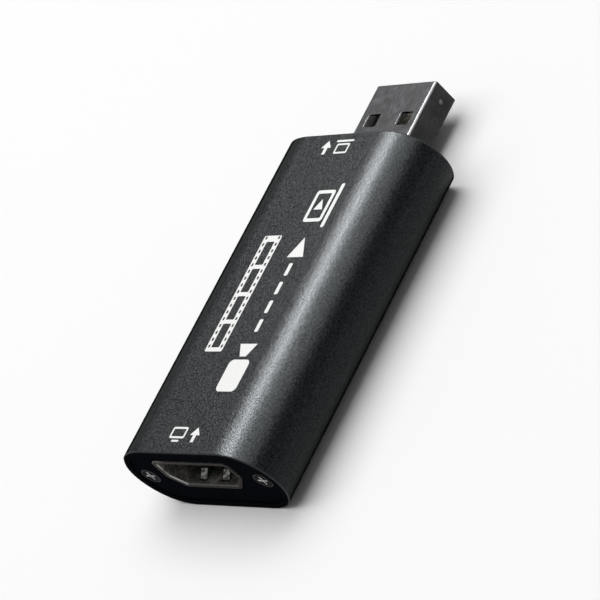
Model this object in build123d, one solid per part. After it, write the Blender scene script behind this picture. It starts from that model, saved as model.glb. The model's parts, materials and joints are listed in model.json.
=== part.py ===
from build123d import *
import math
import os

# A pocket video capture box: a flat-oval aluminium tube closed by two end plates, with one
# circuit board inside. A video socket looks out of one end, and a flat computer plug stands
# out of the other. X is the width, +Y runs towards the plug and +Z is up. The lower flat lies
# on z = 0, and x = y = 0 is the middle of the box with its plug. Sizes are in millimetres.

overrun = 1.0                    # how far any cutting shape runs past what it cuts

# Housing tube
housing_width = 28.6
housing_thickness = 12.6
housing_length = 51.8
housing_wall = 1.0
side_ease = 0.7                  # each round side reaches this much past half the thickness
blend_turn = 14.0                # degrees that the gentle blend beside each flat turns
mouth_bevel = 0.15               # broken edge round both mouths

# Screw rails and board grooves inside the tube
rail_web = 0.73                  # metal between a screw channel and the rail's inner face
rail_roof = 0.9                  # metal above a screw channel
rail_slit = 0.6                  # slit that opens a screw channel to the inside
groove_depth = 1.5
groove_clearance = 0.1           # above and below the board
ledge_thickness = 1.0            # metal below the board

# End plates, set inside the tube's rim
plate_thickness = 1.6
plate_recess = 0.3               # from the tube's rim to the plate's outer face
plate_clearance = 0.08           # round the plate
opening_clearance = 0.12         # round the socket and the plug

# End plate screws
screw_place_share = 0.82         # of the way from the socket's opening to the plate's side
screw_diameter = 1.7
screw_length = 6.0
screw_fit = 0.02                 # between the thread and its channel
screw_point = 0.5
head_diameter = 2.9
head_height = 0.8
head_rim = 0.15
head_clearance = 0.08
recess_span = 1.8
recess_width = 0.42
recess_depth = 0.6
recess_floor_span = 0.8
recess_floor_width = 0.26

# Circuit board
board_thickness = 1.6
board_drop = 1.75                # upper face of the board below the tube's mid height
board_side_gap = 0.2
board_end_gap = 0.2
leg_clearance = 0.15             # round each leg in its slot
bay_margin = 1.1                 # bare strip at each end of the small parts

# Video socket
socket_width = 14.0              # inside of the folded shell
socket_height = 4.55
corner_cut_width = 1.8           # the lower corners of the socket are cut off
corner_cut_height = 1.9
socket_bend_radius = 0.35
socket_sheet = 0.3
socket_length = 11.4
socket_seat_gap = 0.12           # between the shell and the board
socket_proud = 0.15              # mouth in front of the end plate's face
mouth_flange = 0.65              # lip turned outwards round the mouth
mouth_round = 0.25

# Spring leaves of the socket
leaf_width = 1.3
leaf_spacing = 4.5
leaf_slot_gap = 0.25
leaf_tip_depth = 0.9
leaf_ridge_depth = 2.2
leaf_root_depth = 6.6
leaf_foot_length = 0.5           # overlap with the sheet behind the root
leaf_rise = 0.7
leaf_ridge_radius = 0.35

# Legs of the socket's shell
socket_leg_width = 1.2
socket_leg_depths = (3.2, 9.0)   # centre of each leg behind the mouth
leg_reach = 0.6                  # how far a leg stands out below the board

# Socket insulator
tongue_width = 11.2
tongue_thickness = 1.15
tongue_rise = 0.2                # centre of the tongue above the centre of the socket
tongue_depth = 1.9               # front of the tongue behind the mouth
block_depth = 8.6                # front of the block behind the mouth
insulator_overhang = 0.6         # block behind the end of the shell
insulator_clearance = 0.05

# Socket contacts
upper_contact_count = 10
lower_contact_count = 9
contact_pitch = 1.0
contact_width = 0.36
contact_sheet = 0.2
contact_proud = 0.05
contact_setback = 0.6            # front of a contact behind the front of the tongue
contact_foot = 1.0

# Computer plug
plug_width = 12.0
plug_height = 4.5
plug_reach = 12.8                # beyond the end of the tube
plug_length = 18.4
plug_sheet = 0.3
plug_corner_radius = 0.5
plug_tip_bevel = 0.1
plug_seam = 0.06
plug_floor_gap = 0.1             # between the board and the plug's floor
plug_hole_width = 2.4
plug_hole_length = 2.15
plug_hole_spacing = 6.4
plug_hole_setback = 5.15         # near edge of a hole behind the tip
plug_hole_radius = 0.15
dimple_setback = 1.9
dimple_radius = 0.6
dimple_depth = 0.18

# Wings and legs of the plug's shell
wing_length = 2.4
wing_reach_share = 0.51          # of the space between the plug and a rail
wing_setback = 0.4               # from the back end of the shell
plug_leg_length = 1.2

# Plug insulator and contacts
plug_tongue_setback = 0.6
plug_tongue_clearance = 0.05
plug_block_setback = 12.0        # front of the block behind the tip
plug_block_length = 3.3
plug_contact_spacings = (7.0, 2.0)
plug_contact_setbacks = (1.2, 2.2)
plug_contact_width = 1.0
plug_contact_sheet = 0.25
plug_contact_tail = 2.4          # length on the board's tongue
board_tongue_gap = 0.2           # beside and in front of the board's tongue
notch_gap = 0.25                 # between the board and the plug's shell

# Solder under the board
solder_width = 0.35              # ring of solder round a leg
solder_height = 0.4

# Capture chip
chip_side = 7.0
chip_height = 1.4
chip_standoff = 0.1
chip_bevel = 0.2
chip_dot_radius = 0.35
chip_dot_depth = 0.08
chip_dot_inset = 1.0
chip_leads_per_side = 12
chip_lead_pitch = 0.5
chip_lead_width = 0.22
lead_reach = 1.0
lead_foot = 0.45
lead_sheet = 0.15
chip_place_shares = (0.0, 0.45)

# Memory chip
memory_length = 4.9
memory_width = 3.9
memory_height = 1.45
memory_leads_per_side = 4
memory_lead_pitch = 1.27
memory_lead_width = 0.42
memory_place_shares = (-0.55, 0.84)

# Clock crystal
crystal_length = 5.0
crystal_width = 3.2
crystal_base_height = 0.6
crystal_lid_height = 0.6
crystal_lid_step = 0.25
crystal_place_shares = (-0.58, 0.15)

# Voltage regulator
regulator_length = 6.5
regulator_width = 3.5
regulator_height = 1.6
regulator_lead_count = 3
regulator_lead_pitch = 2.3
regulator_lead_width = 0.7
regulator_tab_width = 3.0
regulator_place_shares = (0.42, 0.82)

# Chip capacitors, resistors and the supply bead: length, width and height of each
capacitor_size = (2.0, 1.25, 0.9)
resistor_size = (1.6, 0.8, 0.45)
bead_size = (3.2, 1.6, 1.1)
terminal_length = 0.35
capacitor_place_shares = (
    (-0.8, 0.30), (-0.8, 0.42), (-0.8, 0.54), (0.8, 0.30), (0.8, 0.42), (0.8, 0.54),
)
resistor_place_shares = (
    (0.25, 0.1), (0.5, 0.1), (0.75, 0.1), (-0.2, 0.7), (0.05, 0.7), (0.8, 0.2),
)
bead_place_shares = (-0.1, 0.94)

# Surge arrays
surge_length = 2.5
surge_width = 1.0
surge_height = 0.5
surge_place_shares = ((-0.2, 0.02), (0.3, 0.02))

# Places worked out from the sizes above
overall_length = housing_length + plug_reach
socket_end = -overall_length / 2
plug_end = socket_end + housing_length
plug_tip = overall_length / 2
mid_height = housing_thickness / 2

side_reach = housing_thickness / 2 + side_ease
flat_half = housing_width / 2 - side_reach
blend_sine = math.sin(math.radians(blend_turn))
blend_cosine = math.cos(math.radians(blend_turn))
blend_spread = blend_sine * blend_cosine - (1 - blend_sine) * (1 - blend_cosine)
blend_radius = (side_reach * blend_cosine - mid_height * (1 - blend_sine)) / blend_spread
side_radius = (mid_height * blend_sine - side_reach * (1 - blend_cosine)) / blend_spread

plate_half_width = housing_width / 2 - housing_wall - plate_clearance
opening_half_width = socket_width / 2 + mouth_flange + opening_clearance
screw_play = plate_half_width - opening_half_width - head_diameter
screw_x = opening_half_width + head_diameter / 2 + screw_place_share * screw_play
screw_radius = screw_diameter / 2
channel_radius = screw_radius + screw_fit
rail_face = screw_x - channel_radius - rail_web

board_top = mid_height - board_drop
board_floor = board_top - board_thickness
board_half_width = rail_face + groove_depth - board_side_gap
plate_stack = plate_recess + plate_thickness
board_start = socket_end + plate_stack + board_end_gap
board_end = plug_end - plate_stack - board_end_gap

socket_mouth = socket_end + plate_recess - socket_proud
socket_back = socket_mouth + socket_length
socket_floor = board_top + socket_seat_gap + socket_sheet
socket_centre = socket_floor + socket_height / 2
insulator_back = socket_back + insulator_overhang
tongue_centre = socket_centre + tongue_rise
tongue_top = tongue_centre + tongue_thickness / 2
tongue_floor = tongue_centre - tongue_thickness / 2

plug_back = plug_tip - plug_length
dimple_x = plug_width / 2 + dimple_radius - dimple_depth
wing_reach = wing_reach_share * (rail_face - plug_width / 2)
plug_floor = board_floor - plug_floor_gap
plug_base = plug_floor - plug_sheet
plug_centre = plug_base + plug_height / 2
plug_inner_width = plug_width - 2 * plug_sheet
plug_inner_height = plug_height - 2 * plug_sheet
plug_inner_radius = plug_corner_radius - plug_sheet
plug_block_back = plug_tip - plug_block_setback - plug_block_length
notch_root = plug_back - notch_gap
board_tongue_half_width = plug_inner_width / 2 - board_tongue_gap
board_tongue_end = plug_block_back - board_tongue_gap

# The part of the board's upper face that is free for the small parts
contact_heel = insulator_back + insulator_clearance + contact_sheet
bay_start = contact_heel + contact_foot + bay_margin
bay_length = notch_root - bay_margin - bay_start
bay_half_width = rail_face


def across(y):
    """Plane across the length at y, drawn in width and height."""
    return Plane(origin=(0, y, 0), x_dir=(1, 0, 0), z_dir=(0, -1, 0))


def run_along(section, start, end):
    """Extrude a cross-section from one place along the length to another."""
    return extrude(across(start) * section, amount=end - start, dir=(0, 1, 0))


def block(x_range, y_range, z_range):
    """Plain block between two limits on each axis."""
    (x0, x1), (y0, y1), (z0, z1) = x_range, y_range, z_range
    centre = Pos((x0 + x1) / 2, (y0 + y1) / 2, (z0 + z1) / 2)
    return centre * Box(x1 - x0, y1 - y0, z1 - z0)


def both_sides(shape):
    """The shape and its mirror image on the other side of the width."""
    return [shape, mirror(shape, about=Plane.YZ)]


def bay_place(shares):
    """Point on the board's upper face, from shares of the free area."""
    across_share, along_share = shares
    return Pos(across_share * bay_half_width, bay_start + along_share * bay_length, board_top)


def flat_oval(inset):
    """The tube's outline moved in by inset: flats, gentle blends and tighter round sides."""
    blend_centre = Vector(flat_half, mid_height - blend_radius)
    reach = blend_radius - inset
    middle_turn = 90 - blend_turn / 2
    start = Vector(flat_half, mid_height - inset)
    middle = blend_centre + Vector(reach, 0).rotate(Axis.Z, middle_turn)
    stop = blend_centre + Vector(reach, 0).rotate(Axis.Z, 90 - blend_turn)
    upper_blend = ThreePointArc(start, middle, stop)
    half = Curve() + upper_blend + mirror(upper_blend, about=Plane.XZ)
    half += ThreePointArc(stop, (housing_width / 2 - inset, 0), (stop.X, -stop.Y))
    outline = half + mirror(half, about=Plane.YZ)
    outline += Line((-start.X, start.Y), start)
    outline += Line((-start.X, -start.Y), (start.X, -start.Y))
    return Pos(0, mid_height) * make_face(outline)


def rail_section():
    """One screw rail, with its screw channel above and its board groove below."""
    rail_top = mid_height + channel_radius + rail_roof
    groove_roof = board_top + groove_clearance
    groove_floor = board_floor - groove_clearance
    rail_base = groove_floor - ledge_thickness
    rail_width = housing_width / 2 - rail_face
    rail_x = rail_face + rail_width / 2
    rail = Pos(rail_x, (rail_top + rail_base) / 2) * Rectangle(rail_width, rail_top - rail_base)
    groove_width = groove_depth + overrun
    groove_x = rail_face + groove_depth - groove_width / 2
    groove = Rectangle(groove_width, groove_roof - groove_floor)
    slit_width = screw_x - rail_face + overrun
    slit = Pos(screw_x - slit_width / 2, mid_height) * Rectangle(slit_width, rail_slit)
    rail -= Pos(groove_x, (groove_roof + groove_floor) / 2) * groove
    rail -= Pos(screw_x, mid_height) * Circle(channel_radius)
    rail -= slit
    return rail & flat_oval(housing_wall / 2)


def make_housing_tube():
    """Extruded tube with its rails milled back at both mouths for the end plates."""
    section = flat_oval(0) - flat_oval(housing_wall)
    for rail in both_sides(rail_section()):
        section += rail
    tube = run_along(section, socket_end, plug_end)
    bore = flat_oval(housing_wall)
    tube -= run_along(bore, socket_end - overrun, socket_end + plate_stack)
    tube -= run_along(bore, plug_end - plate_stack, plug_end + overrun)
    rims = [tube.faces().sort_by(Axis.Y)[0], tube.faces().sort_by(Axis.Y)[-1]]
    edges = [edge for rim in rims for edge in rim.outer_wire().edges()]
    return chamfer(edges, mouth_bevel)


def screw_profile(clearance, length):
    """Half section of a countersunk screw along +Y, or of the hole that clears it."""
    head = head_diameter / 2 + clearance
    shank = screw_radius + clearance
    rim = head_rim + clearance
    seat = rim + (head_height - head_rim)
    tip = shank - screw_point / 2
    outline = Polyline(
        (0, 0), (head, 0), (head, rim), (shank, seat),
        (shank, length - screw_point), (tip, length), (0, length), close=True,
    )
    return make_face(outline)


def make_screw():
    """Countersunk screw with a cross recess, its head's face on y = 0, pointing along +Y."""
    screw = revolve(screw_profile(0, screw_length), Axis.Y)
    mouth = across(0) * Rectangle(recess_span, recess_width)
    floor = across(recess_depth) * Rectangle(recess_floor_span, recess_floor_width)
    wing = loft([mouth, floor])
    screw -= wing
    screw -= Rot(0, 90, 0) * wing
    return screw


def screw_places():
    """Where each screw's head lies, and the turn that points it inwards."""
    faces = ((socket_end + plate_recess, 0), (plug_end - plate_recess, 180))
    return [Pos(x, y, mid_height) * Rot(0, 0, turn) for y, turn in faces for x in (-screw_x, screw_x)]


def make_end_plate_screws():
    """Two screws at each end."""
    screw = make_screw()
    return Compound([place * screw for place in screw_places()])


def make_end_plate(opening, outer, inner):
    """Plate inside the tube's rim, with countersunk screw holes and one opening."""
    plate = run_along(flat_oval(housing_wall + plate_clearance), min(outer, inner), max(outer, inner))
    plate -= run_along(opening, min(outer, inner) - overrun, max(outer, inner) + overrun)
    hole = revolve(screw_profile(head_clearance, screw_length), Axis.Y)
    for place in screw_places():
        plate -= place * hole
    return plate


def socket_inside():
    """Inside outline of the socket: flat top, lower corners cut off."""
    half_top = socket_width / 2
    half_base = half_top - corner_cut_width
    top = socket_height / 2
    cut_top = corner_cut_height - top
    outline = Polyline(
        (-half_top, top), (half_top, top), (half_top, cut_top), (half_base, -top),
        (-half_base, -top), (-half_top, cut_top), close=True,
    )
    face = make_face(outline)
    return Pos(0, socket_centre) * fillet(face.vertices(), socket_bend_radius)


def spring_leaf():
    """Leaf cut from the socket's floor: it rises from its tip to a ridge, then falls to its root."""
    tip = socket_mouth + leaf_tip_depth
    ridge = socket_mouth + leaf_ridge_depth
    root = socket_mouth + leaf_root_depth
    foot = root + leaf_foot_length
    crest = socket_floor + leaf_rise
    under = socket_floor - socket_sheet
    outline = Polyline(
        (tip, socket_floor), (ridge, crest), (root, socket_floor), (foot, socket_floor),
        (foot, under), (root, under), (ridge, crest - socket_sheet), (tip, under), close=True,
    )
    face = make_face(outline)
    ridges = [v for v in face.vertices() if abs(v.X - ridge) < socket_sheet / 2]
    face = fillet(ridges, leaf_ridge_radius)
    return extrude(Plane.YZ * face, amount=leaf_width / 2, both=True)


def make_socket_shell():
    """Folded shell with a turned lip, four spring leaves and four legs."""
    inside = socket_inside()
    shell = run_along(offset(inside, amount=socket_sheet), socket_mouth, socket_back)
    shell += run_along(offset(inside, amount=mouth_flange), socket_mouth, socket_mouth + socket_sheet)
    shell -= run_along(inside, socket_mouth - overrun, socket_back + overrun)
    lip = shell.faces().sort_by(Axis.Y)[0].inner_wires()[0]
    shell = fillet(lip.edges(), mouth_round)
    slot_half = leaf_width / 2 + leaf_slot_gap
    slot_start = socket_mouth + leaf_tip_depth - leaf_slot_gap
    slot = block(
        (-slot_half, slot_half), (slot_start, socket_mouth + leaf_root_depth),
        (socket_floor - socket_sheet - leaf_slot_gap, socket_floor + leaf_slot_gap),
    )
    leaf = spring_leaf()
    middle = Plane.XY.offset(socket_centre)
    for x in (-leaf_spacing / 2, leaf_spacing / 2):
        shell -= Pos(x, 0, 0) * slot
        shell -= Pos(x, 0, 0) * mirror(slot, about=middle)
        shell += Pos(x, 0, 0) * leaf
        shell += Pos(x, 0, 0) * mirror(leaf, about=middle)
    for leg in socket_legs(0):
        shell += leg
    return shell


def socket_legs(clearance):
    """Legs folded down from the side walls through the board, or the slots that clear them."""
    side = socket_width / 2
    legs = []
    for depth in socket_leg_depths:
        middle = socket_mouth + depth
        half = socket_leg_width / 2 + clearance
        leg = block(
            (side - clearance, side + socket_sheet + clearance), (middle - half, middle + half),
            (board_floor - leg_reach - clearance, socket_centre),
        )
        legs += both_sides(leg)
    return legs


def contact_strip(height, front):
    """Bent contact of the socket: along the tongue, down behind the block, foot on the board."""
    bend = contact_heel - contact_sheet
    toe = contact_heel + contact_foot
    outline = Polyline(
        (front, height), (contact_heel, height), (contact_heel, board_top + contact_sheet),
        (toe, board_top + contact_sheet), (toe, board_top), (bend, board_top),
        (bend, height - contact_sheet), (front, height - contact_sheet), close=True,
    )
    return extrude(Plane.YZ * make_face(outline), amount=contact_width / 2, both=True)


def contact_row(count, height):
    """Row of equal contacts, centred on the width."""
    front = socket_mouth + tongue_depth + contact_setback
    strip = contact_strip(height, front)
    first = -(count - 1) / 2 * contact_pitch
    return [Pos(first + index * contact_pitch, 0, 0) * strip for index in range(count)]


def make_socket_upper_contacts():
    """Ten contacts on the tongue's upper face."""
    return Compound(contact_row(upper_contact_count, tongue_top + contact_proud))


def make_socket_lower_contacts():
    """Nine contacts on the tongue's lower face."""
    return Compound(contact_row(lower_contact_count, tongue_floor + contact_sheet - contact_proud))


def make_socket_insulator():
    """Moulded block that fills the back of the shell, with the tongue standing forward."""
    base = offset(socket_inside(), amount=-insulator_clearance)
    insulator = run_along(base, socket_mouth + block_depth, insulator_back)
    tongue = Pos(0, tongue_centre) * Rectangle(tongue_width, tongue_thickness)
    insulator += run_along(tongue, socket_mouth + tongue_depth, insulator_back)
    rows = contact_row(upper_contact_count, tongue_top + contact_proud)
    rows += contact_row(lower_contact_count, tongue_floor + contact_sheet - contact_proud)
    for strip in rows:
        insulator -= strip
    return insulator


def plug_outline(inset, radius):
    """Rounded rectangle of the plug's shell, moved in by inset."""
    outline = RectangleRounded(plug_width - 2 * inset, plug_height - 2 * inset, radius)
    return Pos(0, plug_centre) * outline


def plug_legs(clearance):
    """Leg of each wing of the plug's shell, or the slots that clear them."""
    outer = plug_width / 2 + wing_reach
    middle = plug_back + wing_setback + wing_length / 2
    half = plug_leg_length / 2 + clearance
    leg = block(
        (outer - plug_sheet - clearance, outer + clearance), (middle - half, middle + half),
        (board_floor - leg_reach - clearance, board_top + plug_sheet),
    )
    return both_sides(leg)


def make_plug_shell():
    """Folded shell with four holes, two dimples, a seam below and two wings with legs."""
    outside = plug_outline(0, plug_corner_radius)
    shell = run_along(outside, plug_back, plug_tip)
    shell = chamfer(shell.faces().sort_by(Axis.Y)[-1].edges(), plug_tip_bevel)
    shell -= run_along(plug_outline(plug_sheet, plug_inner_radius), plug_back - overrun, plug_tip + overrun)
    hole = RectangleRounded(plug_hole_width, plug_hole_length, plug_hole_radius)
    hole_y = plug_tip - plug_hole_setback - plug_hole_length / 2
    drill = extrude(Plane.XY * hole, amount=plug_height + 2 * overrun)
    for x in (-plug_hole_spacing / 2, plug_hole_spacing / 2):
        shell -= Pos(x, hole_y, plug_base - overrun) * drill
    shell -= block(
        (-plug_seam / 2, plug_seam / 2), (plug_back - overrun, plug_tip + overrun),
        (plug_base - overrun, plug_floor + overrun),
    )
    dent = Pos(dimple_x, plug_tip - dimple_setback, plug_centre) * Sphere(dimple_radius)
    wall = block(
        (plug_width / 2 - 2 * plug_sheet, plug_width / 2 - plug_sheet / 2),
        (plug_back, plug_tip), (plug_base, plug_base + plug_height),
    )
    for bulge in both_sides(Pos(-plug_sheet, 0, 0) * dent & wall):
        shell += bulge
    for hollow in both_sides(dent):
        shell -= hollow
    wing_start = plug_back + wing_setback
    wing = block(
        (plug_width / 2 - plug_sheet, plug_width / 2 + wing_reach),
        (wing_start, wing_start + wing_length), (board_top, board_top + plug_sheet),
    )
    for part in both_sides(wing) + plug_legs(0):
        shell += part
    return shell


def plug_contact_strips():
    """Four flat contacts that run from the plug's tongue on to the board's tongue."""
    strips = []
    tail = plug_block_back - board_tongue_gap - plug_contact_tail
    for spacing, setback in zip(plug_contact_spacings, plug_contact_setbacks):
        middle = spacing / 2
        half = plug_contact_width / 2
        strip = block(
            (middle - half, middle + half), (tail, plug_tip - setback),
            (board_top, board_top + plug_contact_sheet),
        )
        strips += both_sides(strip)
    return strips


def make_plug_contacts():
    """The plug's four contacts."""
    return Compound(plug_contact_strips())


def make_plug_insulator():
    """Moulded block at the back of the plug, with the tongue under the contacts."""
    inset = plug_sheet + plug_tongue_clearance
    outline = plug_outline(inset, plug_inner_radius - plug_tongue_clearance)
    insulator = run_along(outline, plug_block_back, plug_tip - plug_block_setback)
    tongue_face = board_top + plug_contact_sheet - contact_proud
    tongue_base = plug_floor + plug_tongue_clearance
    half = plug_inner_width / 2 - dimple_depth - plug_tongue_clearance
    insulator += block(
        (-half, half), (plug_tip - plug_block_setback - overrun, plug_tip - plug_tongue_setback),
        (tongue_base, tongue_face),
    )
    for strip in plug_contact_strips():
        insulator -= strip
    return insulator


def make_circuit_board():
    """Board with a notch for the plug's shell, a tongue inside it, and slots for the legs."""
    board = block(
        (-board_half_width, board_half_width), (board_start, board_end), (board_floor, board_top),
    )
    notch_half = plug_width / 2 + notch_gap
    board -= block(
        (-notch_half, notch_half), (notch_root, board_end + overrun),
        (board_floor - overrun, board_top + overrun),
    )
    board += block(
        (-board_tongue_half_width, board_tongue_half_width), (notch_root - overrun, board_tongue_end),
        (board_floor, board_top),
    )
    for leg in socket_legs(leg_clearance) + plug_legs(leg_clearance):
        board -= leg
    return board


def make_leg_solder():
    """Solder ring under the board round each leg."""
    rings = []
    legs = socket_legs(0) + plug_legs(0)
    for leg in legs:
        box = leg.bounding_box()
        middle = box.center()
        foot = Rectangle(box.size.X + 2 * solder_width, box.size.Y + 2 * solder_width)
        tip = Rectangle(box.size.X + solder_width, box.size.Y + solder_width)
        low = board_floor - solder_height
        ring = loft([Pos(middle.X, middle.Y, board_floor) * foot, Pos(middle.X, middle.Y, low) * tip])
        rings.append(ring - leg)
    return Compound(rings)


def chip_body(length, width, height, standoff):
    """Moulded chip body with bevelled upper edges and a dot at one corner."""
    body = Pos(0, 0, standoff + height / 2) * Box(length, width, height)
    body = chamfer(body.faces().sort_by(Axis.Z)[-1].edges(), chip_bevel)
    corner = Pos(chip_dot_inset - length / 2, chip_dot_inset - width / 2, standoff + height)
    body -= corner * Cylinder(chip_dot_radius, 2 * chip_dot_depth)
    return body


def gull_lead(rise, width):
    """Bent lead that leaves a body at x = 0 and stands on the board."""
    shoulder = (lead_reach - lead_foot) / 2
    knee = lead_reach - lead_foot
    outline = Polyline(
        (0, rise), (shoulder, rise), (knee, 0), (lead_reach, 0), (lead_reach, lead_sheet),
        (knee + lead_sheet / 2, lead_sheet), (shoulder + lead_sheet / 2, rise + lead_sheet),
        (0, rise + lead_sheet), close=True,
    )
    return extrude(Plane.XZ * make_face(outline), amount=width / 2, both=True)


def lead_row(lead, count, pitch, face):
    """Row of leads that leave the face at x = face."""
    first = -(count - 1) / 2 * pitch
    return [Pos(face, first + index * pitch, 0) * lead for index in range(count)]


def make_capture_chip():
    """Square chip that turns the picture signal into a computer stream."""
    return bay_place(chip_place_shares) * chip_body(chip_side, chip_side, chip_height, chip_standoff)


def make_capture_chip_leads():
    """A row of leads on each of the chip's four sides."""
    lead = gull_lead(chip_standoff + chip_height / 2, chip_lead_width)
    row = lead_row(lead, chip_leads_per_side, chip_lead_pitch, chip_side / 2)
    place = bay_place(chip_place_shares)
    return Compound([place * Rot(0, 0, 90 * side) * each for side in range(4) for each in row])


def make_memory_chip():
    """Small memory with the capture chip's settings."""
    body = chip_body(memory_width, memory_length, memory_height, chip_standoff)
    return bay_place(memory_place_shares) * body


def make_memory_chip_leads():
    """A row of leads on each long side of the memory."""
    lead = gull_lead(chip_standoff + memory_height / 2, memory_lead_width)
    row = lead_row(lead, memory_leads_per_side, memory_lead_pitch, memory_width / 2)
    place = bay_place(memory_place_shares)
    return Compound([place * Rot(0, 0, 180 * side) * each for side in range(2) for each in row])


def make_crystal_base():
    """Ceramic base of the clock crystal."""
    base = Pos(0, 0, crystal_base_height / 2) * Box(crystal_width, crystal_length, crystal_base_height)
    return bay_place(crystal_place_shares) * base


def make_crystal_lid():
    """Metal lid on the crystal's base."""
    middle = crystal_base_height + crystal_lid_height / 2
    step = 2 * crystal_lid_step
    lid = Box(crystal_width - step, crystal_length - step, crystal_lid_height)
    return bay_place(crystal_place_shares) * Pos(0, 0, middle) * lid


def make_regulator():
    """Moulded body of the voltage regulator."""
    body = chip_body(regulator_width, regulator_length, regulator_height, chip_standoff)
    return bay_place(regulator_place_shares) * body


def make_regulator_leads():
    """Three leads on one side of the regulator and a wide tab on the other."""
    rise = chip_standoff + regulator_height / 2
    lead = gull_lead(rise, regulator_lead_width)
    row = lead_row(lead, regulator_lead_count, regulator_lead_pitch, regulator_width / 2)
    tab = Rot(0, 0, 180) * Pos(regulator_width / 2, 0, 0) * gull_lead(rise, regulator_tab_width)
    place = bay_place(regulator_place_shares)
    return Compound([place * each for each in row + [tab]])


def chip_part(size, places):
    """Bodies of one kind of small chip part, and the metal caps on their ends."""
    length, width, height = size
    bodies = []
    caps = []
    body = Pos(0, 0, height / 2) * Box(width, length - 2 * terminal_length, height)
    cap = Pos(0, (length - terminal_length) / 2, height / 2) * Box(width, terminal_length, height)
    for shares in places:
        bodies.append(bay_place(shares) * body)
        caps.append(bay_place(shares) * cap)
        caps.append(bay_place(shares) * Rot(0, 0, 180) * cap)
    return bodies, caps


def make_surge_arrays():
    """Two small arrays that guard the socket's signal lines."""
    array = Pos(0, 0, surge_height / 2) * Box(surge_length, surge_width, surge_height)
    return Compound([bay_place(shares) * array for shares in surge_place_shares])


def make_plates():
    """The end plate round the socket and the end plate round the plug."""
    clearance = opening_clearance
    socket_opening = offset(socket_inside(), amount=mouth_flange + clearance)
    plug_opening = plug_outline(-clearance, plug_corner_radius + clearance)
    socket_face = socket_end + plate_recess
    plug_face = plug_end - plate_recess
    socket_plate = make_end_plate(socket_opening, socket_face, socket_face + plate_thickness)
    plug_plate = make_end_plate(plug_opening, plug_face, plug_face - plate_thickness)
    return socket_plate, plug_plate


def main():
    socket_plate, plug_plate = make_plates()
    capacitors, capacitor_caps = chip_part(capacitor_size, capacitor_place_shares)
    resistors, resistor_caps = chip_part(resistor_size, resistor_place_shares)
    bead, bead_caps = chip_part(bead_size, (bead_place_shares,))
    parts = {
        "housing_tube": make_housing_tube(),
        "socket_end_plate": socket_plate,
        "plug_end_plate": plug_plate,
        "end_plate_screws": make_end_plate_screws(),
        "socket_shell": make_socket_shell(),
        "socket_insulator": make_socket_insulator(),
        "socket_upper_contacts": make_socket_upper_contacts(),
        "socket_lower_contacts": make_socket_lower_contacts(),
        "plug_shell": make_plug_shell(),
        "plug_insulator": make_plug_insulator(),
        "plug_contacts": make_plug_contacts(),
        "circuit_board": make_circuit_board(),
        "leg_solder": make_leg_solder(),
        "capture_chip": make_capture_chip(),
        "capture_chip_leads": make_capture_chip_leads(),
        "memory_chip": make_memory_chip(),
        "memory_chip_leads": make_memory_chip_leads(),
        "crystal_base": make_crystal_base(),
        "crystal_lid": make_crystal_lid(),
        "regulator": make_regulator(),
        "regulator_leads": make_regulator_leads(),
        "chip_capacitors": Compound(capacitors),
        "chip_resistors": Compound(resistors),
        "supply_bead": Compound(bead),
        "chip_terminals": Compound(capacitor_caps + resistor_caps + bead_caps),
        "surge_arrays": make_surge_arrays(),
    }
    os.makedirs("parts", exist_ok=True)
    for name, shape in parts.items():
        export_step(shape, f"parts/{name}.step")


main()
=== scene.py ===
import json
import math

import bpy
from mathutils import Matrix, Vector


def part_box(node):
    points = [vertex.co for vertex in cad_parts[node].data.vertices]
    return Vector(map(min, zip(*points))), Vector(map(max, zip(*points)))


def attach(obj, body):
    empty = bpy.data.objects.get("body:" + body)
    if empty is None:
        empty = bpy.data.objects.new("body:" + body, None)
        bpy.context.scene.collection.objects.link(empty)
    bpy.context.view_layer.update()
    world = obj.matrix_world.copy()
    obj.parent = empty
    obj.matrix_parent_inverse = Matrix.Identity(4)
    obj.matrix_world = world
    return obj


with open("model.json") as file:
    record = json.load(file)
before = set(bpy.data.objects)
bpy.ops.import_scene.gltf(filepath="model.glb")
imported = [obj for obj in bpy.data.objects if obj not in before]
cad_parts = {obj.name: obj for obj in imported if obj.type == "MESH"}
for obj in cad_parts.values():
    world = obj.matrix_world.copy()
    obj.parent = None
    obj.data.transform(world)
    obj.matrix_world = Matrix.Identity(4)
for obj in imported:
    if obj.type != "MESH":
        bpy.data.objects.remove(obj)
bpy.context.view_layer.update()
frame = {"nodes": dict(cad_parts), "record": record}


# Circuit board
# Glass-fibre board in green solder mask, which slides into the tube's two grooves. Copper tracks
# show through the mask as paler lines, and the sawn edges show bare fibre.

mm = 0.001


def feed(tree, socket, value):
    """Link a socket to another node's result, or give it a plain value."""
    if isinstance(value, bpy.types.NodeSocket):
        tree.links.new(value, socket)
    else:
        socket.default_value = value


def calculate(tree, operation, *values):
    """Result of one sum on numbers, each plain or another node's result."""
    node = tree.nodes.new("ShaderNodeMath")
    node.operation = operation
    for socket, value in zip(node.inputs, values):
        feed(tree, socket, value)
    return node.outputs["Value"]


def ramp(tree, value, limits=(0.0, 1.0), levels=(0.0, 1.0)):
    """Result that goes from one level to the other as a value goes from one limit to the other."""
    node = tree.nodes.new("ShaderNodeMapRange")
    names = ("Value", "From Min", "From Max", "To Min", "To Max")
    for name, setting in zip(names, (value, *limits, *levels)):
        feed(tree, node.inputs[name], setting)
    return node.outputs["Result"]


def mix(tree, amount, before, after, kind="RGBA"):
    """Two colours, or two numbers where the kind is FLOAT, mixed by an amount."""
    node = tree.nodes.new("ShaderNodeMix")
    node.data_type = kind
    for name, value in (("Factor", amount), ("A", before), ("B", after)):
        feed(tree, node.inputs[name], value)
    return node.outputs["Result"]


def surface_place(tree):
    """Place of a point of the surface in the part's frame."""
    return tree.nodes.new("ShaderNodeTexCoord").outputs["Object"]


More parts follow.
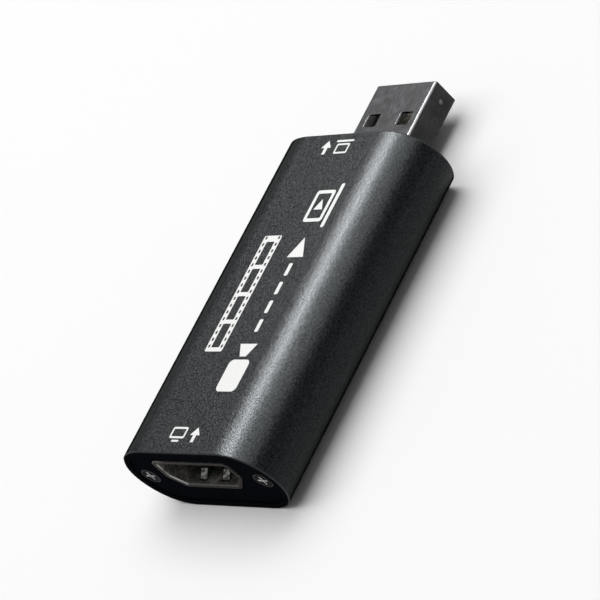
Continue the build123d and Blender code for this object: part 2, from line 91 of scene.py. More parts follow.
def surface_facing(tree):
    """Direction that the surface faces."""
    return tree.nodes.new("ShaderNodeNewGeometry").outputs["Normal"]


def coordinate(tree, vector, axis):
    """X, Y or Z of a place or a direction."""
    node = tree.nodes.new("ShaderNodeSeparateXYZ")
    feed(tree, node.inputs["Vector"], vector)
    return node.outputs[axis]


def grained_finish(name, tones, roughness, size, height, stretch_shares=(1, 1, 1), metal_share=0.0):
    """A finish whose colour, roughness and surface follow one fine grain in the part's frame.

    tones and roughness are pairs: for the hollows of the grain, and for its peaks. size and height
    are those of the grain, and a stretch share under 1 draws it out along that axis.
    """
    grain_detail = 3.0
    grain_range = (0.3, 0.7)
    finish = bpy.data.materials.new(name)
    finish.use_nodes = True
    tree = finish.node_tree
    shader = tree.nodes["Principled BSDF"]
    shader.inputs["Metallic"].default_value = metal_share
    scaled = tree.nodes.new("ShaderNodeMapping")
    scaled.inputs["Scale"].default_value = [share / size for share in stretch_shares]
    noise = tree.nodes.new("ShaderNodeTexNoise")
    noise.inputs["Scale"].default_value = 1.0
    noise.inputs["Detail"].default_value = grain_detail
    feed(tree, scaled.inputs["Vector"], surface_place(tree))
    feed(tree, noise.inputs["Vector"], scaled.outputs["Vector"])
    grain = ramp(tree, noise.outputs["Fac"], grain_range)
    grain.node.name = "grain"
    hollow_tone, peak_tone = tones
    relief = tree.nodes.new("ShaderNodeBump")
    relief.name = "relief"
    relief.inputs["Distance"].default_value = height
    feed(tree, relief.inputs["Height"], grain)
    feed(tree, shader.inputs["Base Color"], mix(tree, grain, (*hollow_tone, 1), (*peak_tone, 1)))
    feed(tree, shader.inputs["Roughness"], ramp(tree, grain, levels=roughness))
    feed(tree, shader.inputs["Normal"], relief.outputs["Normal"])
    return finish


def blend_colour(finish, mask, colour):
    """Lay one more colour over a finish's base colour where the mask is 1."""
    tree = finish.node_tree
    base = tree.nodes["Principled BSDF"].inputs["Base Color"]
    before = base.links[0].from_socket
    feed(tree, base, mix(tree, mask, before, (*colour, 1)))


def dress(node, finish):
    """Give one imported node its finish."""
    slots = frame["nodes"][node].data.materials
    for index in range(len(slots)):
        slots[index] = finish


board_tones = ((0.008, 0.075, 0.03), (0.012, 0.11, 0.042))
board_roughness = (0.22, 0.34)
board_grain = 0.35 * mm
board_relief = 0.002 * mm
track_green = (0.03, 0.2, 0.075)
track_pitch = 1.1 * mm
track_width_share = 0.12
pitches_per_track = 5.0
pitches_per_row = 1.0
fibre_edge = (0.42, 0.4, 0.2)
edge_limit = 0.5

board_green = grained_finish(
    "green_solder_mask", board_tones, board_roughness, board_grain, board_relief,
)
tree = board_green.node_tree
tracks = tree.nodes.new("ShaderNodeTexBrick")
tracks.inputs["Scale"].default_value = 1 / track_pitch
tracks.inputs["Mortar Size"].default_value = track_width_share
tracks.inputs["Brick Width"].default_value = pitches_per_track
tracks.inputs["Row Height"].default_value = pitches_per_row
feed(tree, tracks.inputs["Vector"], surface_place(tree))
blend_colour(board_green, tracks.outputs["Fac"], track_green)
flatness = calculate(tree, "ABSOLUTE", coordinate(tree, surface_facing(tree), "Z"))
edge = calculate(tree, "LESS_THAN", flatness, edge_limit)
blend_colour(board_green, edge, fibre_edge)
dress("circuit_board", board_green)


# Solder, leads and end caps
# Tinned copper and solder: a pale grey metal with a frosty skin, duller where it froze slowly.
# The leads stand on the board and the solder rings hold the shells' legs under it.

tinned_tones = ((0.48, 0.48, 0.47), (0.66, 0.66, 0.65))
tinned_roughness = (0.24, 0.44)
tinned_grain = 0.18 * mm
tinned_relief = 0.004 * mm
all_metal_share = 1.0

tinned = grained_finish(
    "tinned_metal", tinned_tones, tinned_roughness, tinned_grain, tinned_relief,
    metal_share=all_metal_share,
)
tinned_nodes = (
    "leg_solder", "capture_chip_leads", "memory_chip_leads", "regulator_leads", "chip_terminals",
)
for node in tinned_nodes:
    dress(node, tinned)


# Moulded chips
# The capture chip, memory, regulator and surge arrays are pressed from black filled resin,
# matt and finely speckled, with nothing printed on them.

resin_tones = ((0.016, 0.016, 0.017), (0.036, 0.036, 0.037))
resin_roughness = (0.5, 0.68)
resin_grain = 0.09 * mm
resin_relief = 0.003 * mm

chip_resin = grained_finish("chip_resin", resin_tones, resin_roughness, resin_grain, resin_relief)
for node in ("capture_chip", "memory_chip", "regulator", "surge_arrays"):
    dress(node, chip_resin)


# Ceramic parts
# Fired ceramics, each with its own colour: the crystal's pale base, tan capacitors, dark glazed
# resistors and the grey ferrite bead. The crystal's lid is a thin welded metal cap.

pale_tones = ((0.52, 0.49, 0.42), (0.64, 0.61, 0.54))
pale_roughness = (0.5, 0.62)
pale_grain = 0.12 * mm
fired_relief = 0.003 * mm
pale_ceramic = grained_finish("pale_ceramic", pale_tones, pale_roughness, pale_grain, fired_relief)
dress("crystal_base", pale_ceramic)

tan_tones = ((0.36, 0.24, 0.14), (0.48, 0.34, 0.21))
tan_roughness = (0.36, 0.5)
tan_grain = 0.14 * mm
tan_ceramic = grained_finish("tan_ceramic", tan_tones, tan_roughness, tan_grain, fired_relief)
dress("chip_capacitors", tan_ceramic)

glaze_tones = ((0.02, 0.021, 0.025), (0.04, 0.041, 0.046))
glaze_roughness = (0.14, 0.26)
glaze_grain = 0.2 * mm
glaze_relief = 0.002 * mm
dark_glaze = grained_finish(
    "dark_resistor_glaze", glaze_tones, glaze_roughness, glaze_grain, glaze_relief,
)
dress("chip_resistors", dark_glaze)

ferrite_tones = ((0.08, 0.08, 0.085), (0.14, 0.14, 0.145))
ferrite_roughness = (0.5, 0.7)
ferrite_grain = 0.11 * mm
ferrite_relief = 0.004 * mm
grey_ferrite = grained_finish(
    "grey_ferrite", ferrite_tones, ferrite_roughness, ferrite_grain, ferrite_relief,
)
dress("supply_bead", grey_ferrite)

lid_tones = ((0.5, 0.49, 0.46), (0.62, 0.61, 0.58))
lid_roughness = (0.2, 0.34)
lid_grain = 0.1 * mm
lid_relief = 0.001 * mm
lid_stretch_shares = (1, 0.1, 1)
lid_metal = grained_finish(
    "crystal_lid_metal", lid_tones, lid_roughness, lid_grain, lid_relief,
    lid_stretch_shares, all_metal_share,
)
dress("crystal_lid", lid_metal)


# Insulators
# Moulded blocks in filled plastic, dark brown in the video socket and grey in the computer plug.
# Each carries a tongue for its contacts. The surface is matt, with faint flow marks.

plastic_roughness = (0.42, 0.58)
flow_stretch_shares = (1, 0.35, 1)

brown_tones = ((0.030, 0.028, 0.024), (0.070, 0.064, 0.055))
brown_grain = 0.4 * mm
brown_relief = 0.008 * mm
socket_plastic = grained_finish(
    "socket_moulded_plastic", brown_tones, plastic_roughness, brown_grain, brown_relief,
    flow_stretch_shares,
)
dress("socket_insulator", socket_plastic)

grey_tones = ((0.14, 0.14, 0.14), (0.24, 0.24, 0.24))
grey_grain = 0.25 * mm
grey_relief = 0.004 * mm
plug_plastic = grained_finish(
    "plug_moulded_plastic", grey_tones, plastic_roughness, grey_grain, grey_relief,
    flow_stretch_shares,
)
dress("plug_insulator", plug_plastic)


# Contacts
# Thin copper alloy strips with a flash of gold, bedded in the tongues of the two insulators.
# The gold is bright in the socket and thin and dull in the plug, with fine rolling marks.

strip_grain = 0.06 * mm
strip_relief = 0.001 * mm
strip_stretch_shares = (1, 0.08, 1)

bright_gold = ((0.66, 0.44, 0.15), (0.86, 0.62, 0.27))
bright_roughness = (0.18, 0.3)
gold_plate = grained_finish(
    "gold_plate", bright_gold, bright_roughness, strip_grain, strip_relief,
    strip_stretch_shares, all_metal_share,
)
for node in ("socket_upper_contacts", "socket_lower_contacts"):
    dress(node, gold_plate)

dull_gold = ((0.19, 0.17, 0.13), (0.29, 0.26, 0.2))
dull_roughness = (0.24, 0.38)
gold_flash = grained_finish(
    "thin_gold_flash", dull_gold, dull_roughness, strip_grain, strip_relief,
    strip_stretch_shares, all_metal_share,
)
dress("plug_contacts", gold_flash)


# Plug shell
# Folded sheet steel with dull nickel plate and fine lengthwise rolling marks, smudged with grease.
# Its bends are painted paler, partly as rubbed wear and partly as a painted highlight. Its side dimples
# carry a painted highlight, its inside is painted pale as painted light seen through the holes, and
# the walls of its holes carry painted highlights.

plug_half_width = 6.0 * mm
crosswise = (1, 0, 1)


def calculate_vector(tree, operation, *vectors):
    """Results of one sum on places or directions, each plain or another node's result."""
    node = tree.nodes.new("ShaderNodeVectorMath")
    node.operation = operation
    for socket, vector in zip(node.inputs, vectors):
        feed(tree, socket, vector)
    return node.outputs


def soft_edges(finish, radius):
    """Shade sharp edges as if they were rounded, and give the direction that they then face."""
    edge_samples = 8
    tree = finish.node_tree
    rounding = tree.nodes.new("ShaderNodeBevel")
    rounding.samples = edge_samples
    rounding.inputs["Radius"].default_value = radius
    feed(tree, tree.nodes["relief"].inputs["Normal"], rounding.outputs["Normal"])
    return rounding.outputs["Normal"]


def clouds(tree, size):
    """Broad noise, with clouds of about the given size."""
    noise = tree.nodes.new("ShaderNodeTexNoise")
    noise.inputs["Scale"].default_value = 1 / size
    feed(tree, noise.inputs["Vector"], surface_place(tree))
    return noise.outputs["Fac"]


def smudge(finish, colour, size, limits):
    """Cloudy patches of another colour, which fade in between two limits of a broad noise."""
    tree = finish.node_tree
    blend_colour(finish, ramp(tree, clouds(tree, size), limits), colour)


def bend_mask(finish):
    """1 along a shell's rounded long edges, which look half up or down and half sideways."""
    bend_range = (0.15, 0.4)
    tree = finish.node_tree
    facing = surface_facing(tree)
    across = coordinate(tree, facing, "X")
    upward = coordinate(tree, facing, "Z")
    slant = calculate(tree, "ABSOLUTE", calculate(tree, "MULTIPLY", across, upward))
    return ramp(tree, slant, bend_range)


def inner_mask(finish, centre):
    """1 on the faces of a shell that look in towards its middle line, 0 on its outer faces."""
    tree = finish.node_tree
    offset = calculate_vector(tree, "SUBTRACT", surface_place(tree), centre)["Vector"]
    across = calculate_vector(tree, "MULTIPLY", offset, crosswise)["Vector"]
    outward = calculate_vector(tree, "DOT_PRODUCT", across, surface_facing(tree))["Value"]
    return calculate(tree, "LESS_THAN", outward, 0.0)


def hole_wall_highlight_mask(finish):
    """1 on the punched walls of the holes, which look sideways well inside the shell's sides."""
    side_margin = 1.0 * mm
    sideways_limit = 0.5
    tree = finish.node_tree
    from_middle = calculate(tree, "ABSOLUTE", coordinate(tree, surface_place(tree), "X"))
    inside = calculate(tree, "LESS_THAN", from_middle, plug_half_width - side_margin)
    sideways = calculate(tree, "ABSOLUTE", coordinate(tree, surface_facing(tree), "X"))
    wall = calculate(tree, "GREATER_THAN", sideways, sideways_limit)
    return calculate(tree, "MULTIPLY", inside, wall)


def dimple_mask(finish, centre):
    """1 at the bottom of the two round dimples pressed into the shell's sides behind its tip."""
    setback = 1.9 * mm
    depth = 0.18 * mm
    highlight_radius = 0.26 * mm
    soft_rim = 0.16 * mm
    bottom = (plug_half_width - depth, centre.y - setback, centre.z)
    tree = finish.node_tree
    mirrored = calculate_vector(tree, "ABSOLUTE", surface_place(tree))["Vector"]
    distance = calculate_vector(tree, "DISTANCE", mirrored, bottom)["Value"]
    return ramp(tree, distance, (highlight_radius + soft_rim, highlight_radius))


plug_tones = ((0.022, 0.022, 0.0232), (0.05, 0.05, 0.052))
plug_roughness = (0.32, 0.4)
plug_grain = 0.12 * mm
plug_relief = 0.002 * mm
rolled_stretch_shares = (1, 0.12, 1)
greasy_nickel = (0.025, 0.025, 0.0256)
grease_size = 2.4 * mm
grease_range = (0.45, 0.68)
rubbed_and_highlight_nickel = (0.07, 0.07, 0.072)
painted_light_nickel = (0.64, 0.64, 0.64)
dimple_highlight_nickel = (0.16, 0.16, 0.16)
plug_edge_radius = 0.16 * mm
plug_mount = next(mount for mount in frame["record"]["mounts"] if mount["name"] == "computer_plug")
tip_centre = Vector(plug_mount["pos_m"])

plug_nickel = grained_finish(
    "plug_nickel_steel", plug_tones, plug_roughness, plug_grain, plug_relief,
    rolled_stretch_shares, all_metal_share,
)
smudge(plug_nickel, greasy_nickel, grease_size, grease_range)
# Rounded bends painted paler: partly rubbed wear, partly a painted highlight along the edges
blend_colour(plug_nickel, bend_mask(plug_nickel), rubbed_and_highlight_nickel)
# Inside painted pale as painted light seen through the holes; the hole walls as painted highlights
blend_colour(plug_nickel, inner_mask(plug_nickel, tip_centre), painted_light_nickel)
blend_colour(plug_nickel, hole_wall_highlight_mask(plug_nickel), painted_light_nickel)
# The dimples' bottoms are painted paler as a painted highlight
blend_colour(plug_nickel, dimple_mask(plug_nickel, tip_centre), dimple_highlight_nickel)
soft_edges(plug_nickel, plug_edge_radius)
dress("plug_shell", plug_nickel)


# Socket shell
# The same sheet, paler in patches and stained at its cut edges. Faces that look up and out are painted
# paler as painted sheen, with bright painted highlights on the lead-in ramps of its spring leaves and
# at one end of its lower lip, where the leads pushed in also rub the metal.

def end_mask(finish, node, deep, shallow):
    """1 at both ends of a node along the box, fading to 0 from a shallow to a deep distance in."""
    low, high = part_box(node)
    half = (high.y - low.y) / 2
    tree = finish.node_tree
    offset = calculate(tree, "SUBTRACT", coordinate(tree, surface_place(tree), "Y"), low.y + half)
    return ramp(tree, calculate(tree, "ABSOLUTE", offset), (half - deep, half - shallow))


socket_tones = ((0.15, 0.146, 0.139), (0.27, 0.263, 0.252))
socket_roughness = (0.26, 0.4)
socket_grain = 0.35 * mm
socket_relief = 0.006 * mm
socket_metal_share = 0.86
dark_glance = (0.4, 0.4, 0.4, 1)
socket_edge_radius = 0.12 * mm
pale_nickel = (0.6, 0.59, 0.57)
pale_patch_size = 0.9 * mm
pale_patch_range = (0.5, 0.72)
stained_steel = (0.045, 0.043, 0.04)
stain_deep = 0.12 * mm
stain_shallow = 0.04 * mm
upfacing_sheen_steel = (0.14, 0.138, 0.134)
upward_range = (0.25, 0.6)
outward_range = (-0.1, -0.4)
painted_highlight_steel = (0.92, 0.92, 0.9)
highlight_blob_size = 0.55 * mm
highlight_blob_range = (0.44, 0.6)
highlight_blob_levels = (0.0, 0.8)
lip_depth = 0.8 * mm
lip_fade = 0.3 * mm
lip_dull_x = -4.7 * mm
lip_bright_x = -5.3 * mm
lip_levels = (0.06, 1.0)

socket_nickel = grained_finish(
    "socket_nickel_steel", socket_tones, socket_roughness, socket_grain, socket_relief,
    metal_share=socket_metal_share,
)
tree = socket_nickel.node_tree
tree.nodes["Principled BSDF"].inputs["Specular Tint"].default_value = dark_glance
smudge(socket_nickel, pale_nickel, pale_patch_size, pale_patch_range)
stain = end_mask(socket_nickel, "socket_shell", stain_deep, stain_shallow)
blend_colour(socket_nickel, stain, stained_steel)

# Faces that look up and out get painted sheen, and bright painted highlights in patches on the leaves
# and at the lip's end
rounded_facing = soft_edges(socket_nickel, socket_edge_radius)
upward = ramp(tree, coordinate(tree, rounded_facing, "Z"), upward_range)
outward = ramp(tree, coordinate(tree, rounded_facing, "Y"), outward_range)
lit_facing = calculate(tree, "MULTIPLY", upward, outward)
blend_colour(socket_nickel, lit_facing, upfacing_sheen_steel)
leaf_highlight_blobs = ramp(tree, clouds(tree, highlight_blob_size), highlight_blob_range, highlight_blob_levels)
lip_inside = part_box("socket_shell")[0].y + lip_depth
on_lip = ramp(tree, coordinate(tree, surface_place(tree), "Y"), (lip_inside + lip_fade, lip_inside))
lip_side = coordinate(tree, surface_place(tree), "X")
lip_highlight = ramp(tree, lip_side, (lip_dull_x, lip_bright_x), lip_levels)
highlight_share = mix(tree, on_lip, leaf_highlight_blobs, lip_highlight, kind="FLOAT")
# Painted highlights on the leaves' ramps and at the lip's end
blend_colour(socket_nickel, calculate(tree, "MULTIPLY", lit_facing, highlight_share), painted_highlight_steel)
dress("socket_shell", socket_nickel)


# Housing tube
# One length of extruded aluminium with a flat-oval section, fine bead blasted and anodised black.
# The blast leaves an even, fine speckle, and handling has rubbed the bevelled rims paler. The inner
# faces are painted darker, as painted shade.

def fade_sheen(finish, levels, slant_range, matt=None):
    """Vary the gloss with the grain, fade it at a low angle as a rough skin does, and where matt."""
    tree = finish.node_tree
    level = ramp(tree, tree.nodes["grain"].outputs["Result"], levels=levels)
    slant = tree.nodes.new("ShaderNodeLayerWeight").outputs["Facing"]
    gloss = ramp(tree, slant, slant_range, (level, 0.0))
    if matt is not None:
        gloss = calculate(tree, "MULTIPLY", gloss, calculate(tree, "SUBTRACT", 1.0, matt))
    feed(tree, tree.nodes["Principled BSDF"].inputs["Specular IOR Level"], gloss)


tube_tones = ((0.0012, 0.0018, 0.0021), (0.009, 0.0105, 0.011))
tube_roughness = (0.31, 0.41)
tube_grain = 0.27 * mm
tube_relief = 0.016 * mm
cool_glance = (0.9, 0.96, 1.0, 1)
rubbed_rim = (0.03, 0.033, 0.036)
rim_deep = 0.3 * mm
rim_shallow = 0.1 * mm
inner_shade_black = (0.002, 0.0025, 0.003)
cut_black = (0.004, 0.005, 0.006)
cut_deep = 0.03 * mm
cut_shallow = 0.01 * mm
tube_sheen = (0.085, 0.215)
tube_slant_range = (0.5, 0.76)
tube_edge_radius = 0.1 * mm
tube_low, tube_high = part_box("housing_tube")
tube_centre = (tube_low + tube_high) / 2

anodised_black = grained_finish(
    "anodised_black", tube_tones, tube_roughness, tube_grain, tube_relief,
)
anodised_shader = anodised_black.node_tree.nodes["Principled BSDF"]
anodised_shader.inputs["Specular Tint"].default_value = cool_glance
rim_band = end_mask(anodised_black, "housing_tube", rim_deep, rim_shallow)
cut_face = end_mask(anodised_black, "housing_tube", cut_deep, cut_shallow)
blend_colour(anodised_black, rim_band, rubbed_rim)
# Inner faces painted darker: painted shade inside the tube's mouths
blend_colour(anodised_black, inner_mask(anodised_black, tube_centre), inner_shade_black)
blend_colour(anodised_black, cut_face, cut_black)
fade_sheen(anodised_black, tube_sheen, tube_slant_range, matt=cut_face)
soft_edges(anodised_black, tube_edge_radius)
dress("housing_tube", anodised_black)


# End plates
# Thin plates set just inside each rim of the tube. Matt black with a faint orange-peel skin,
# and a slightly bluer black than the tube.

plate_tones = ((0.0025, 0.003, 0.0042), (0.006, 0.0065, 0.0085))
plate_roughness = (0.42, 0.55)
plate_grain = 0.4 * mm
plate_relief = 0.006 * mm
plate_sheen = (0.2, 0.3)
plate_slant_range = (0.35, 0.6)

plate_black = grained_finish(
    "plate_black", plate_tones, plate_roughness, plate_grain, plate_relief,
)
fade_sheen(plate_black, plate_sheen, plate_slant_range)
for node in ("socket_end_plate", "plug_end_plate"):
    dress(node, plate_black)


# End plate screws
# Countersunk steel screws, two at each end, blackened. The driver has rubbed the black off the
# walls of the cross recess, which are painted very pale as bare steel and as painted glints, and the
# heads' rims are a little worn.

def head_rim_mask(finish):
    """1 on the outer rim of each screw head, fading to 0 a little way in."""
    head_radius = 1.45 * mm
    rim_width = 0.08 * mm
    rim_fade = 0.12 * mm
    low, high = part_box("end_plate_screws")
    head_centre = (high.x - head_radius, 0, (low.z + high.z) / 2)
    rim_start = head_radius - rim_width
    tree = finish.node_tree
    mirrored = calculate_vector(tree, "ABSOLUTE", surface_place(tree))["Vector"]
    flattened = calculate_vector(tree, "MULTIPLY", mirrored, crosswise)["Vector"]
    distance = calculate_vector(tree, "DISTANCE", flattened, head_centre)["Value"]
    return ramp(tree, distance, (rim_start - rim_fade, rim_start))


glint_steel_tones = ((0.75, 0.75, 0.75), (0.95, 0.95, 0.95))
steel_roughness = (0.3, 0.44)
steel_grain = 0.1 * mm
steel_relief = 0.003 * mm
screw_metal_share = 0.85
head_black = (0.012, 0.012, 0.014)
head_deep = 0.05 * mm
head_shallow = 0.02 * mm
rubbed_black = (0.07, 0.07, 0.073)
screw_edge_radius = 0.04 * mm

# Very pale recess walls: partly bare steel, partly painted glints
screw_steel = grained_finish(
    "blackened_screw_steel", glint_steel_tones, steel_roughness, steel_grain, steel_relief,
    metal_share=screw_metal_share,
)
screw_steel.node_tree.nodes["Principled BSDF"].inputs["Specular Tint"].default_value = dark_glance
head_face = end_mask(screw_steel, "end_plate_screws", head_deep, head_shallow)
blend_colour(screw_steel, head_face, head_black)
blend_colour(screw_steel, head_rim_mask(screw_steel), rubbed_black)
soft_edges(screw_steel, screw_edge_radius)
dress("end_plate_screws", screw_steel)


# Printed marks
# White pad-printed ink on the upper flat: plain signs for a picture going in at one end, through
# the box, and out at the other. The ink film is thin and takes the grain of the blasted metal.

ink_tones = ((0.6, 0.6, 0.59), (0.76, 0.76, 0.75))
ink_roughness = (0.45, 0.6)
ink_grain = 0.14 * mm
ink_relief = 0.003 * mm
ink_height = 0.012 * mm
ink_sink = 0.004 * mm
half_turn = math.pi
quarter_turn = math.pi / 2
white_ink = grained_finish("white_ink", ink_tones, ink_roughness, ink_grain, ink_relief)


def box_loop(left, low, width, height, corner):
    """Closed outline of a box with round corners, as points."""
    corner_steps = 6
    right = left + width - corner
    top = low + height - corner
    centres = ((right, top), (left + corner, top), (left + corner, low + corner), (right, low + corner))
    points = []
    for quarter, (u, v) in enumerate(centres):
        for step in range(corner_steps + 1):
            turn = quarter_turn * (quarter + step / corner_steps)
            points.append((u + corner * math.cos(turn), v + corner * math.sin(turn)))
    return points


def screen_loops(left, low, width, height, border, corner, inner_corner):
    """Outside and inside outline of a screen's frame."""
    inner_width = width - 2 * border
    inner_height = height - 2 * border
    return [
        box_loop(left, low, width, height, corner),
        box_loop(left + border, low + border, inner_width, inner_height, inner_corner),
    ]


def triangle_loop(left, middle, length, half_height):
    """Closed outline of a triangle that points along the sign."""
    return [(left, middle - half_height), (left + length, middle), (left, middle + half_height)]


def arrow_loop(centre, tail, heading):
    """Closed outline of an arrow that points up the sign, or down it for a heading of -1."""
    neck = tail + heading * arrow_shaft_length
    tip = neck + heading * arrow_head_length
    shaft = heading * arrow_shaft_half
    barb = heading * arrow_head_half
    return [
        (centre - shaft, tail), (centre + shaft, tail), (centre + shaft, neck),
        (centre + barb, neck), (centre, tip), (centre - barb, neck), (centre - shaft, neck),
    ]


def print_mark(name, loops, x, y, turn):
    """Thin film of ink from closed outlines, of which one inside another is a hole."""
    curve = bpy.data.curves.new(name, "CURVE")
    curve.dimensions = "2D"
    curve.fill_mode = "BOTH"
    curve.extrude = (ink_height + ink_sink) / 2
    for loop in loops:
        spline = curve.splines.new("POLY")
        spline.points.add(len(loop) - 1)
        for point, (u, v) in zip(spline.points, loop):
            point.co = (u, v, 0, 1)
        spline.use_cyclic_u = True
    drawn = bpy.data.objects.new(name, curve)
    bpy.context.scene.collection.objects.link(drawn)
    film = bpy.data.meshes.new_from_object(drawn)
    bpy.data.objects.remove(drawn)
    middle = Vector((x, y, tube_high.z + (ink_height - ink_sink) / 2))
    film.transform(Matrix.Translation(middle) @ Matrix.Rotation(turn, 4, "Z"))
    film.name = name
    mark = bpy.data.objects.new(name, film)
    bpy.context.scene.collection.objects.link(mark)
    film.materials.append(white_ink)
    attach(mark, "root")


# Input sign: a screen on its foot, and an arrow that points into the box
arrow_shaft_length = 1.1 * mm
arrow_head_length = 1.2 * mm
arrow_shaft_half = 0.3 * mm
arrow_head_half = 0.95 * mm
screen_low = 0.55 * mm
screen_width = 3.0 * mm
screen_height = 1.75 * mm
screen_border = 0.3 * mm
screen_corner = 0.3 * mm
screen_inner_corner = 0.12 * mm
foot_width = 1.4 * mm
foot_height = 0.3 * mm
foot_corner = 0.1 * mm
in_arrow_centre = 4.9 * mm
in_sign_x = -2.7 * mm
in_sign_inset = 1.8 * mm
foot_left = (screen_width - foot_width) / 2
in_sign = screen_loops(
    0, screen_low, screen_width, screen_height, screen_border, screen_corner, screen_inner_corner,
)
in_sign.append(box_loop(foot_left, 0, foot_width, foot_height, foot_corner))
in_sign.append(arrow_loop(in_arrow_centre, tail=0, heading=1))
print_mark("input_mark", in_sign, in_sign_x, tube_low.y + in_sign_inset, turn=0)

# Output sign: an open computer, and an arrow that points out of the box
base_width = 3.4 * mm
base_height = 0.32 * mm
base_corner = 0.12 * mm
lid_low = 0.6 * mm
lid_width = 2.6 * mm
lid_height = 1.7 * mm
lid_border = 0.28 * mm
lid_corner = 0.25 * mm
lid_inner_corner = 0.1 * mm
out_arrow_centre = 5.0 * mm
out_sign_x = 3.1 * mm
out_sign_inset = 1.2 * mm
lid_left = (base_width - lid_width) / 2
arrow_length = arrow_shaft_length + arrow_head_length
out_sign = screen_loops(
    lid_left, lid_low, lid_width, lid_height, lid_border, lid_corner, lid_inner_corner,
)
out_sign.append(box_loop(0, 0, base_width, base_height, base_corner))
out_sign.append(arrow_loop(out_arrow_centre, tail=arrow_length, heading=-1))
print_mark("output_mark", out_sign, out_sign_x, tube_high.y - out_sign_inset, half_turn)

# Signal path along the box: a camera, a broken line with an arrowhead, and a computer
path_middle = 2.5 * mm
body_length = 5.0 * mm
body_height = 4.0 * mm
body_corner = 0.8 * mm
lens_gap = 0.5 * mm
lens_length = 2.0 * mm
lens_back_half = 0.6 * mm
lens_front_half = 1.7 * mm
dash_count = 4
dash_start = 9.4 * mm
dash_pitch = 3.0 * mm
dash_length = 2.0 * mm
dash_width = 0.7 * mm
dash_corner = 0.2 * mm
point_length = 3.2 * mm
point_half = 1.6 * mm
big_base_left = 26.2 * mm
big_base_width = 7.2 * mm
big_base_height = 0.65 * mm
big_base_corner = 0.25 * mm
big_lid_low = 1.1 * mm
big_lid_width = 5.2 * mm
big_lid_height = 3.7 * mm
big_lid_border = 0.55 * mm
big_lid_corner = 0.5 * mm
big_lid_inner_corner = 0.2 * mm
play_inset = 2.0 * mm
play_length = 1.7 * mm
play_half = 0.85 * mm
path_x = 6.0 * mm
path_inset = 9.7 * mm
lens_back = body_length + lens_gap
lens_front = lens_back + lens_length
path_sign = [
    box_loop(0, path_middle - body_height / 2, body_length, body_height, body_corner),
    [
        (lens_back, path_middle - lens_back_half), (lens_front, path_middle - lens_front_half),
        (lens_front, path_middle + lens_front_half), (lens_back, path_middle + lens_back_half),
    ],
]
for step in range(dash_count):
    dash_left = dash_start + dash_pitch * step
    dash_low = path_middle - dash_width / 2
    path_sign.append(box_loop(dash_left, dash_low, dash_length, dash_width, dash_corner))
point_left = dash_start + dash_pitch * dash_count
path_sign.append(triangle_loop(point_left, path_middle, point_length, point_half))
big_lid_left = big_base_left + (big_base_width - big_lid_width) / 2
path_sign += screen_loops(
    big_lid_left, big_lid_low, big_lid_width, big_lid_height,
    big_lid_border, big_lid_corner, big_lid_inner_corner,
)
play_middle = big_lid_low + big_lid_height / 2
path_sign.append(triangle_loop(big_lid_left + play_inset, play_middle, play_length, play_half))
path_sign.append(box_loop(big_base_left, 0, big_base_width, big_base_height, big_base_corner))
print_mark("signal_path_mark", path_sign, path_x, tube_low.y + path_inset, quarter_turn)

# Film strip beside it, with a row of small holes along each edge
strip_length = 18.8 * mm
strip_width = 3.5 * mm
strip_corner = 0.3 * mm
picture_count = 4
picture_start = 0.65 * mm
picture_pitch = 4.45 * mm
picture_length = 3.8 * mm
picture_width = 1.6 * mm
picture_corner = 0.15 * mm
hole_count = 17
hole_start = 0.6 * mm
hole_pitch = 1.1 * mm
hole_length = 0.5 * mm
hole_width = 0.35 * mm
hole_corner = 0.08 * mm
hole_margin = 0.3 * mm
strip_x = -1.3 * mm
strip_inset = 16.0 * mm
picture_low = (strip_width - picture_width) / 2
strip_sign = [box_loop(0, 0, strip_length, strip_width, strip_corner)]
for step in range(picture_count):
    picture_left = picture_start + picture_pitch * step
    strip_sign.append(
        box_loop(picture_left, picture_low, picture_length, picture_width, picture_corner)
    )
for step in range(hole_count):
    hole_left = hole_start + hole_pitch * step
    for hole_low in (hole_margin, strip_width - hole_margin - hole_width):
        strip_sign.append(box_loop(hole_left, hole_low, hole_length, hole_width, hole_corner))
print_mark("film_strip_mark", strip_sign, strip_x, tube_low.y + strip_inset, quarter_turn)


# Camera
# A long lens nearly half a metre away, above and beside the socket's end and rolled, as the
# photograph was taken. The lens and the sensor are in millimetres.

camera_place = Vector((332.754, -177.651, 245.024)) * mm
camera_turn_degrees = (47.10, 37.96, 32.62)
camera_lens = 200.5
camera_sensor = 36.0
nearest_seen = 0.01
farthest_seen = 20.0
camera = bpy.data.objects.new("camera", bpy.data.cameras.new("camera"))
camera.location = camera_place
camera.rotation_euler = [math.radians(turn) for turn in camera_turn_degrees]
camera.data.lens = camera_lens
camera.data.sensor_width = camera_sensor
camera.data.clip_start = nearest_seen
camera.data.clip_end = farthest_seen
bpy.context.scene.collection.objects.link(camera)
bpy.context.scene.camera = camera


# Floor
# A plain pale sheet of matt paper under the box, wide enough to fill the view from any side.

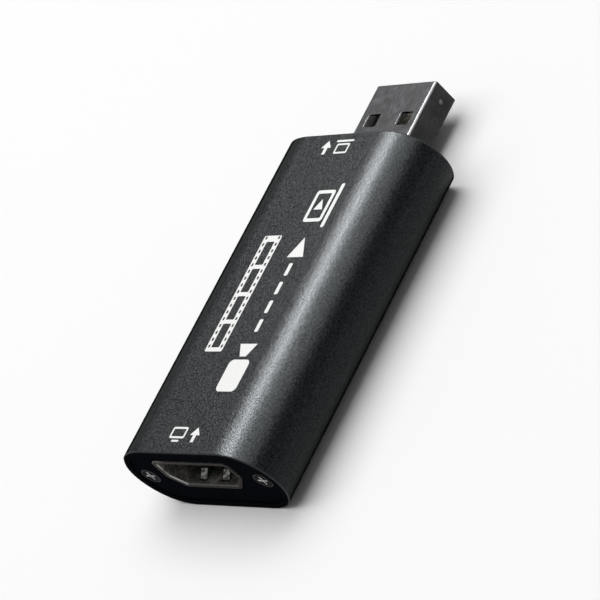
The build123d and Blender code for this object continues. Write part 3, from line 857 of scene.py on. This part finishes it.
floor_half = 3.0
floor_pale = (0.93, 0.93, 0.93, 1)
floor_roughness = 1.0
floor_gloss = 0.0
floor_mesh = bpy.data.meshes.new("floor")
floor_corners = [(x * floor_half, y * floor_half, 0) for x, y in ((-1, -1), (1, -1), (1, 1), (-1, 1))]
floor_mesh.from_pydata(floor_corners, [], [(0, 1, 2, 3)])
floor = bpy.data.objects.new("floor", floor_mesh)
bpy.context.scene.collection.objects.link(floor)
floor_paper = bpy.data.materials.new("floor_paper")
floor_paper.use_nodes = True
floor_shader = floor_paper.node_tree.nodes["Principled BSDF"]
floor_shader.inputs["Base Color"].default_value = floor_pale
floor_shader.inputs["Roughness"].default_value = floor_roughness
floor_shader.inputs["Specular IOR Level"].default_value = floor_gloss
floor_mesh.materials.append(floor_paper)


# Light
# A large soft box overhead gives plain light and a soft shadow. Four lamps beside it show only in
# the gloss: a strip for the bright band on the round side, and panels that fade the band out.

lamp_target = Vector((10, -6, 11)) * mm


def area_light(name, lean, tilt_share, distance, width, length, power):
    """Flat lamp leant in degrees to the box's right and tilted by a share towards the plug's end."""
    across = math.sqrt(1 - tilt_share ** 2)
    turn = math.radians(lean)
    back = Vector((across * math.sin(turn), tilt_share, across * math.cos(turn)))
    lamp = bpy.data.objects.new(name, bpy.data.lights.new(name, "AREA"))
    lamp.data.shape = "RECTANGLE"
    lamp.data.size = width
    lamp.data.size_y = length
    lamp.data.energy = power
    lamp.location = lamp_target + back * distance
    along = (Vector((0, 1, 0)) - back * back.y).normalized()
    lamp.rotation_euler = Matrix((along.cross(back), along, back)).transposed().to_euler()
    lamp.visible_camera = False
    bpy.context.scene.collection.objects.link(lamp)
    return lamp


soft_lean = -8
soft_tilt_share = 0.12
soft_distance = 1.0
soft_side = 1.4
soft_power = 13.2
soft_box = area_light(
    "soft_box", soft_lean, soft_tilt_share, soft_distance, soft_side, soft_side, soft_power,
)
soft_box.visible_glossy = False

# Each gloss lamp's name, lean, width and power
gloss_lamps = (
    ("left_panel", -54, 0.3, 0.04),
    ("gloss_strip", -24, 0.06, 6.4),
    ("inner_panel", -7, 0.12, 2.25),
    ("outer_panel", 25, 0.3, 2.05),
)
gloss_tilt_share = 0.39
gloss_distance = 0.5
gloss_length = 0.22
for name, lean, width, power in gloss_lamps:
    lamp = area_light(name, lean, gloss_tilt_share, gloss_distance, width, gloss_length, power)
    lamp.visible_diffuse = False

surround_white = (1, 1, 1, 1)
surround_level = 0.25
world = bpy.data.worlds.new("surround")
world.use_nodes = True
world.node_tree.nodes["Background"].inputs["Color"].default_value = surround_white
world.node_tree.nodes["Background"].inputs["Strength"].default_value = surround_level
bpy.context.scene.world = world
bpy.context.scene.view_settings.view_transform = "Standard"
